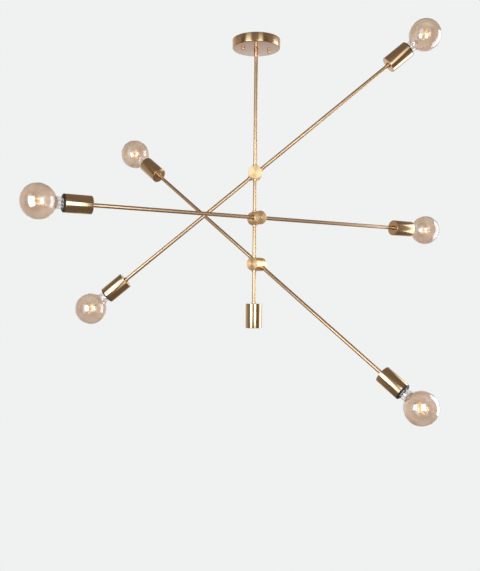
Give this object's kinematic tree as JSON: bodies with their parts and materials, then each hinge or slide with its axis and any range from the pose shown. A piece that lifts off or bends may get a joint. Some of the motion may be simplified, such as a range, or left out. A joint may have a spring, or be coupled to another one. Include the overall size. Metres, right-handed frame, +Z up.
{
  "type": "chandelier",
  "caption": "Sputnik ceiling chandelier: swivelling hubs on a brass stem carry tilting arms with cup lampholders and smoked globe bulbs; a plain cup weights the foot.",
  "frame": {"origin": "centre of the crossbar's upper face, in the plane of the ceiling", "axes": "+Z up into the ceiling, +X to the right and +Y away from someone who faces the front view; the object hangs below the origin"},
  "size_m": [1.0364, 0.6407, 0.9872],
  "materials": {
    "satin_brass": "satin antique brass, finely brushed round the turned parts and along the rods, clear lacquered",
    "turned_brass": "antique brass with fine circular turning marks on the faces, clear lacquered",
    "zinc_steel": "bright zinc-plated steel",
    "black_phenolic": "black moulded phenolic, notched at the rim",
    "amber_glass": "clear smoked amber glass, blown, slightly uneven",
    "bulb_core": "nickel-bright screw cap, clear glass stem and yellow-orange phosphor filaments",
    "lead_insulation": "soft PVC insulation on stranded copper, with moulded terminal block and brass contacts"
  },
  "bodies": {
    "ceiling_kit": {"crossbar": "zinc_steel", "crossbar_screws": "zinc_steel", "canopy": "satin_brass", "canopy_nuts": "satin_brass", "supply_leads": "lead_insulation", "ceiling_nipple": "zinc_steel", "stem_coupler": "satin_brass", "stem_tube_1": "satin_brass", "stem_rings_1": "satin_brass"},
    "top_swivel": {"hub_stem_half_top": "turned_brass", "tilt_pivot_top": "turned_brass", "stem_tube_2": "satin_brass", "stem_rings_2": "satin_brass", "stem_leads_2": "lead_insulation"},
    "top_arm": {"hub_arm_half_top": "turned_brass", "hub_cap_top": "turned_brass", "arm_rods_top": "satin_brass", "arm_rings_top": "satin_brass", "lampholders_top": "black_phenolic", "arm_wiring_top": "lead_insulation", "cup_top_right": "satin_brass", "cup_top_left": "satin_brass"},
    "bulb_top_right": {"bulb_glass_top_right": "amber_glass", "bulb_core_top_right": "bulb_core"},
    "bulb_top_left": {"bulb_glass_top_left": "amber_glass", "bulb_core_top_left": "bulb_core"},
    "middle_swivel": {"hub_stem_half_middle": "turned_brass", "tilt_pivot_middle": "turned_brass", "stem_tube_3": "satin_brass", "stem_rings_3": "satin_brass", "stem_leads_3": "lead_insulation"},
    "middle_arm": {"hub_arm_half_middle": "turned_brass", "hub_cap_middle": "turned_brass", "arm_rods_middle": "satin_brass", "arm_rings_middle": "satin_brass", "lampholders_middle": "black_phenolic", "arm_wiring_middle": "lead_insulation", "cup_middle_left": "satin_brass", "cup_middle_right": "satin_brass"},
    "bulb_middle_left": {"bulb_glass_middle_left": "amber_glass", "bulb_core_middle_left": "bulb_core"},
    "bulb_middle_right": {"bulb_glass_middle_right": "amber_glass", "bulb_core_middle_right": "bulb_core"},
    "bottom_swivel": {"hub_stem_half_bottom": "turned_brass", "tilt_pivot_bottom": "turned_brass", "stem_tube_4": "satin_brass", "stem_rings_4": "satin_brass", "finial": "satin_brass"},
    "bottom_arm": {"hub_arm_half_bottom": "turned_brass", "hub_cap_bottom": "turned_brass", "arm_rods_bottom": "satin_brass", "arm_rings_bottom": "satin_brass", "lampholders_bottom": "black_phenolic", "arm_wiring_bottom": "lead_insulation", "cup_bottom_right": "satin_brass", "cup_bottom_left": "satin_brass"},
    "bulb_bottom_right": {"bulb_glass_bottom_right": "amber_glass", "bulb_core_bottom_right": "bulb_core"},
    "bulb_bottom_left": {"bulb_glass_bottom_left": "amber_glass", "bulb_core_bottom_left": "bulb_core"}
  },
  "joints": [
    {"name": "top_hub_swivel", "type": "hinge", "parent": "ceiling_kit", "child": "top_swivel", "pos_m": [0, 0, -0.332], "axis": [0, 0, 1], "range_deg": [-170, 170]},
    {"name": "top_arm_tilt", "type": "hinge", "parent": "top_swivel", "child": "top_arm", "pos_m": [0.00037, 0.021, -0.332], "axis": [-0.0175, -0.9998, 0], "range_deg": [-85, 35]},
    {"name": "top_right_bulb_unscrew", "type": "slide", "parent": "top_arm", "child": "bulb_top_right", "axis": [0.7726, -0.0135, 0.6347], "range_m": [0, 0.045]},
    {"name": "top_left_bulb_unscrew", "type": "slide", "parent": "top_arm", "child": "bulb_top_left", "axis": [-0.7726, 0.0135, -0.6347], "range_m": [0, 0.045]},
    {"name": "middle_hub_swivel", "type": "hinge", "parent": "top_swivel", "child": "middle_swivel", "pos_m": [0, 0, -0.4475], "axis": [0, 0, 1], "range_deg": [-40, 24]},
    {"name": "middle_arm_tilt", "type": "hinge", "parent": "middle_swivel", "child": "middle_arm", "pos_m": [0.01037, -0.01826, -0.4475], "axis": [-0.4939, 0.8695, 0], "range_deg": [-60, 60]},
    {"name": "middle_left_bulb_unscrew", "type": "slide", "parent": "middle_arm", "child": "bulb_middle_left", "axis": [-0.8695, -0.4939, 0.0087], "range_m": [0, 0.045]},
    {"name": "middle_right_bulb_unscrew", "type": "slide", "parent": "middle_arm", "child": "bulb_middle_right", "axis": [0.8695, 0.4939, -0.0087], "range_m": [0, 0.045]},
    {"name": "bottom_hub_swivel", "type": "hinge", "parent": "middle_swivel", "child": "bottom_swivel", "pos_m": [0, 0, -0.563], "axis": [0, 0, 1], "range_deg": [-80, 24]},
    {"name": "bottom_arm_tilt", "type": "hinge", "parent": "bottom_swivel", "child": "bottom_arm", "pos_m": [0.01205, 0.0172, -0.563], "axis": [-0.5736, -0.8192, 0], "range_deg": [-38, 90]},
    {"name": "bottom_right_bulb_unscrew", "type": "slide", "parent": "bottom_arm", "child": "bulb_bottom_right", "axis": [0.6585, -0.4611, -0.5948], "range_m": [0, 0.045]},
    {"name": "bottom_left_bulb_unscrew", "type": "slide", "parent": "bottom_arm", "child": "bulb_bottom_left", "axis": [-0.6585, 0.4611, 0.5948], "range_m": [0, 0.045]}
  ]
}
